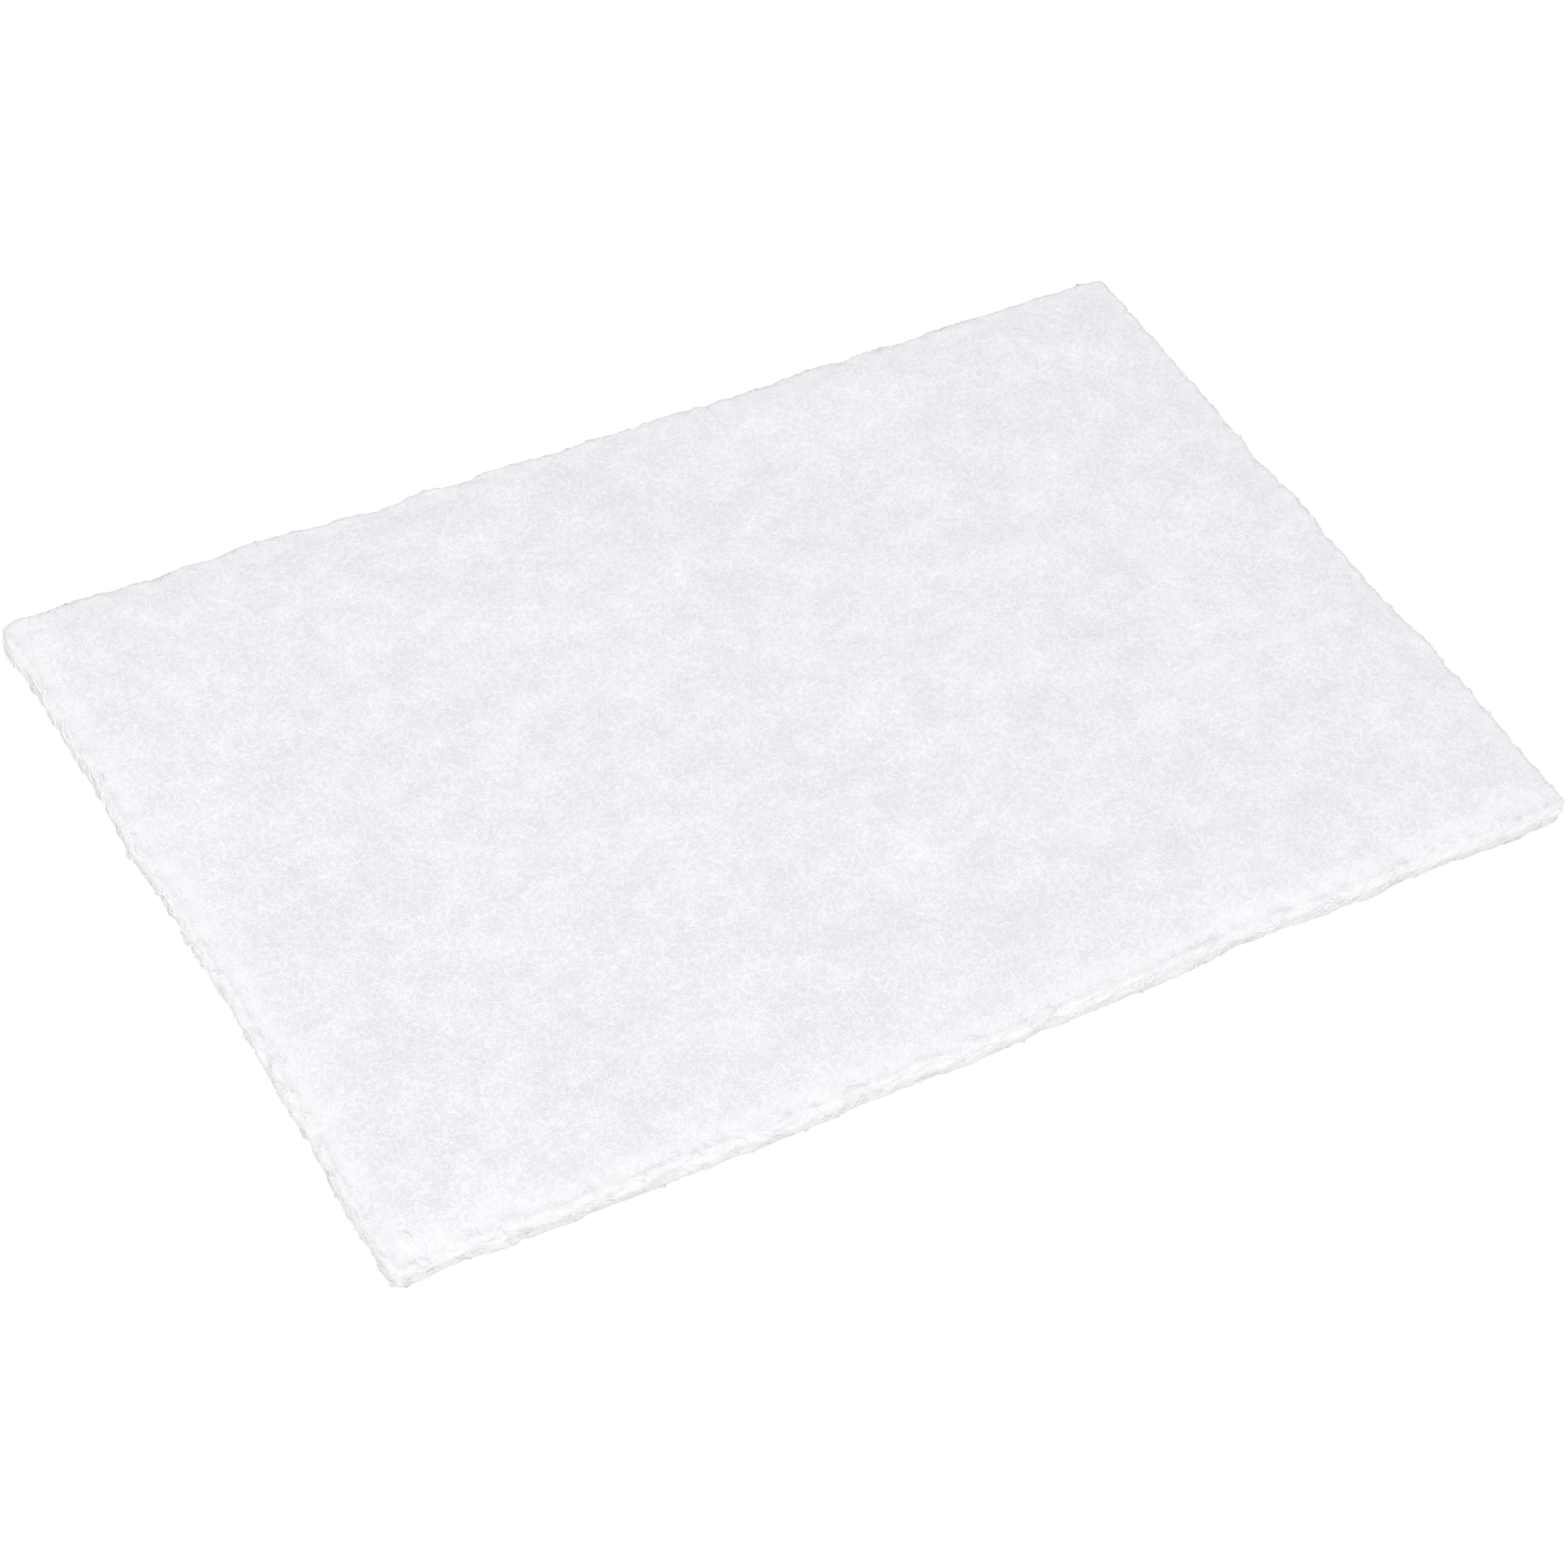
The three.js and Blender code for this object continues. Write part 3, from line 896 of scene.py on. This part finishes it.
def edge_tones_group():
    """Node group: the tones of the cut edge, laid over a colour of the web. Felt brings the colour
    towards the even tone of the matted rim, and the shoulder input multiplies in painted shade that tones
    down the light on the shoulder's curve. Near the ground the colour is darker and warmer, as painted
    shade where the foot meets the ground, and a noise moves the border of that band up and down. Gives
    the colour."""
    group = bpy.data.node_groups.new("edge_tones", "ShaderNodeTree")
    face = group.interface
    face.new_socket("Color", in_out="INPUT", socket_type="NodeSocketColor")
    face.new_socket("Place", in_out="INPUT", socket_type="NodeSocketVector")
    face.new_socket("Felt", in_out="INPUT", socket_type="NodeSocketFloat")
    face.new_socket("Shoulder", in_out="INPUT", socket_type="NodeSocketFloat")
    face.new_socket("Color", in_out="OUTPUT", socket_type="NodeSocketColor")
    into = node(group, "NodeGroupInput")
    felted = mixed(group, into.outputs["Felt"], into.outputs["Color"], CUT_EDGE)
    # Painted shade: the shoulder is darkened in colour to tone down the light that falls on its curve.
    shoulder_shaded = mixed(group, into.outputs["Shoulder"], felted, SHOULDER_SHADE, "MULTIPLY")
    height = node(group, "ShaderNodeSeparateXYZ", {0: into.outputs["Place"]}).outputs["Z"]
    uneven = node(group, "ShaderNodeTexNoise", {
        "Vector": into.outputs["Place"], "Scale": FOOT_SHADE_SCALE, "Detail": 3.0,
    }).outputs["Fac"]
    lowered = math_of(group, "SUBTRACT", height, FOOT_SHADE_WANDER / 2)
    moved = math_of(group, "MULTIPLY_ADD", uneven, FOOT_SHADE_WANDER, lowered)
    # Painted shade: the colour is darkened and warmed near the ground, where the foot meets it.
    low = fading_out(group, moved, FOOT_SHADE_LOW, FOOT_SHADE_HIGH)
    out = node(group, "NodeGroupOutput")
    group.links.new(mixed(group, low, shoulder_shaded, FOOT_SHADE, "MULTIPLY"), out.inputs["Color"])
    return group


def toned(tree, colour, place, felt, tones):
    """The colour with the tones of the cut edge, felted by the given share where the rim is matted, and
    with the painted shade of the shoulder and the foot.
    """
    return node(tree, "ShaderNodeGroup", {
        "Color": colour,
        "Place": place,
        "Felt": math_of(tree, "MULTIPLY", own_value(tree, "matted_rim"), felt),
        "Shoulder": own_value(tree, "shoulder"),
    }, node_tree=tones).outputs["Color"]


def plain_material(name, roughness, level):
    """A material with its Principled shader, its tree and that shader."""
    material = bpy.data.materials.new(name)
    material.use_nodes = True
    tree = material.node_tree
    tree.nodes.clear()
    shader = node(tree, "ShaderNodeBsdfPrincipled", {"Roughness": roughness, "Specular IOR Level": level})
    node(tree, "ShaderNodeOutputMaterial", {"Surface": shader.outputs[0]})
    return material, tree, shader


def body_material(web, tones):
    """Matted lower fibres: pale lines over pores darkened as painted shade of the web's depth, whiter and
    fuller where the web is thick."""
    material, tree, shader = plain_material("matted_web", 0.9, 0.15)
    place = node(tree, "ShaderNodeTexCoord").outputs["Object"]
    net = node(tree, "ShaderNodeGroup", {"Vector": place}, node_tree=web)
    filled = math_of(tree, "MULTIPLY_ADD", own_value(tree, "web_thickness"), THICK_SHARE, THIN_START)
    lined = math_of(tree, "MULTIPLY", net.outputs["Cover"], LINE_SHARE)
    shade = math_of(tree, "ADD", lined, filled, clamp=True)
    # Painted shade: the pores between the lines are darker in colour to stand for the shade deep in the
    # web.
    colour = mixed(tree, shade, PORE_SHADE, THREAD)
    tree.links.new(toned(tree, colour, place, BODY_FELT, tones), shader.inputs["Base Color"])
    bump = node(tree, "ShaderNodeBump", {
        "Strength": 1.0, "Distance": WEB_HEIGHT, "Height": net.outputs["Height"],
    })
    tree.links.new(bump.outputs[0], shader.inputs["Normal"])
    return material


def fibre_material(tones):
    """Single nylon fibres: white with a lavender tint, each a little different, with a finely uneven
    satin surface."""
    material, tree, shader = plain_material("nylon_fibre", 0.6, 0.25)
    place = node(tree, "ShaderNodeTexCoord").outputs["Object"]
    grain = node(tree, "ShaderNodeTexNoise", {
        "Vector": place, "Scale": FIBRE_GRAIN_SCALE, "Detail": 1.0,
    }).outputs["Fac"]
    grained = math_of(tree, "MULTIPLY_ADD", grain, GRAIN_SHARE, FIBRE_START)
    tinted = math_of(tree, "MULTIPLY_ADD", own_value(tree, "fibre_tint"), TINT_SHARE, grained)
    thick = own_value(tree, "web_thickness")
    shade = math_of(tree, "MULTIPLY_ADD", thick, FIBRE_THICK_SHARE, tinted, clamp=True)
    colour = mixed(tree, shade, DULL_FIBRE, BRIGHT_FIBRE)
    tree.links.new(toned(tree, colour, place, FIBRE_FELT, tones), shader.inputs["Base Color"])
    rough = math_of(tree, "MULTIPLY_ADD", grain, GRAIN_ROUGHENS, SMOOTHEST_FIBRE)
    tree.links.new(rough, shader.inputs["Roughness"])
    return material


def husk_material():
    """Dry husk: pale straw, with darker streaks."""
    material, tree, shader = plain_material("husk", 0.6, 0.3)
    place = node(tree, "ShaderNodeTexCoord").outputs["Object"]
    grain = node(tree, "ShaderNodeTexNoise", {
        "Vector": place, "Scale": HUSK_GRAIN_SCALE, "Detail": 2.0,
    }).outputs["Fac"]
    tree.links.new(mixed(tree, grain, DARK_HUSK, PALE_HUSK), shader.inputs["Base Color"])
    return material


def seen_directly(tree):
    """1 for what the camera sees, straight on or mirrored in a glossy surface, and 0 for the light
    that falls on the pad."""
    path = node(tree, "ShaderNodeLightPath")
    return math_of(tree, "MAXIMUM", path.outputs["Is Camera Ray"], path.outputs["Is Glossy Ray"])


def towards(azimuth, elevation):
    """Unit vector from the pad towards an azimuth, counted from the front and growing to the right,
    and an elevation, both in degrees."""
    azimuth = math.radians(azimuth)
    elevation = math.radians(elevation)
    level = math.cos(elevation)
    return Vector((math.sin(azimuth) * level, -math.cos(azimuth) * level, math.sin(elevation)))


def ground():
    """White ground that keeps the pad's shadow: pale in the light, with a glow that only the camera
    sees."""
    material = bpy.data.materials.new("white_ground")
    material.use_nodes = True
    tree = material.node_tree
    tree.nodes.clear()
    glow = math_of(tree, "MULTIPLY", seen_directly(tree), GROUND_GLOW)
    diffuse = node(tree, "ShaderNodeBsdfDiffuse", {"Color": GROUND_COLOUR})
    emission = node(tree, "ShaderNodeEmission", {"Strength": glow})
    both = node(tree, "ShaderNodeAddShader", {0: diffuse.outputs[0], 1: emission.outputs[0]})
    node(tree, "ShaderNodeOutputMaterial", {"Surface": both.outputs[0]})
    half = GROUND_SIDE / MM / 2
    corners = np.array([[-half, -half, 0], [half, -half, 0], [half, half, 0], [-half, half, 0]])
    return add_mesh("ground", corners, np.array([[0, 1, 2, 3]]), NO_TRIANGLES, material)


def surround():
    """Even light from all sides, and a white background."""
    world = bpy.data.worlds.new("surround")
    bpy.context.scene.world = world
    world.use_nodes = True
    tree = world.node_tree
    tree.nodes.clear()
    lit = node(tree, "ShaderNodeBackground", {"Color": WHITE, "Strength": SURROUND_LIGHT})
    white = node(tree, "ShaderNodeBackground", {"Color": WHITE, "Strength": 1.0})
    choice = node(tree, "ShaderNodeMixShader", {
        0: seen_directly(tree), 1: lit.outputs[0], 2: white.outputs[0],
    })
    node(tree, "ShaderNodeOutputWorld", {"Surface": choice.outputs[0]})


def soft_box():
    """Soft light from the front left, above the camera's shoulder."""
    lamp = bpy.data.lights.new("soft_box", "AREA")
    lamp.shape = "SQUARE"
    lamp.size = BOX_SIDE
    lamp.energy = BOX_POWER
    box = bpy.data.objects.new("soft_box", lamp)
    bpy.context.scene.collection.objects.link(box)
    back = towards(BOX_AZIMUTH, BOX_ELEVATION)
    box.location = back * BOX_DISTANCE
    box.rotation_euler = back.to_track_quat("Z", "Y").to_euler()


def camera():
    """Camera at the photograph's angle, with its roll, aimed at a point of the ground near the pad's
    middle."""
    roll = math.radians(CAMERA_ROLL)
    back = towards(CAMERA_AZIMUTH, CAMERA_ELEVATION)
    level_right = (-back).cross(Vector((0, 0, 1))).normalized()
    level_up = level_right.cross(-back)
    right = math.cos(roll) * level_right + math.sin(roll) * level_up
    up = math.cos(roll) * level_up - math.sin(roll) * level_right
    data = bpy.data.cameras.new("camera")
    data.lens = CAMERA_LENS
    data.sensor_width = CAMERA_SENSOR
    data.clip_start = NEAREST_SEEN
    data.clip_end = FARTHEST_SEEN
    made = bpy.data.objects.new("camera", data)
    bpy.context.scene.collection.objects.link(made)
    place = (Vector(CAMERA_TARGET) + back * CAMERA_DISTANCE) * MM
    turned = Matrix((right, up, back)).transposed().to_4x4()
    made.matrix_world = Matrix.Translation(place) @ turned
    bpy.context.scene.camera = made


tones = edge_tones_group()
matted = body_material(crimped_web_group(), tones)
nylon = fibre_material(tones)

body = web_body(matted)
layers = [top_fibres(name, seed, nylon, crest, ripple) for name, seed, crest, ripple in TOP_LAYERS]
pieces = [body, *layers, edge_fibres(nylon), stray_fibres(nylon), underside_fibres(nylon)]
for piece in pieces:
    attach(piece, "root")
    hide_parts(NODE)
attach(fleck(husk_material()), "root")

bpy.context.scene.view_settings.view_transform = "Standard"
ground()
surround()
soft_box()
camera()
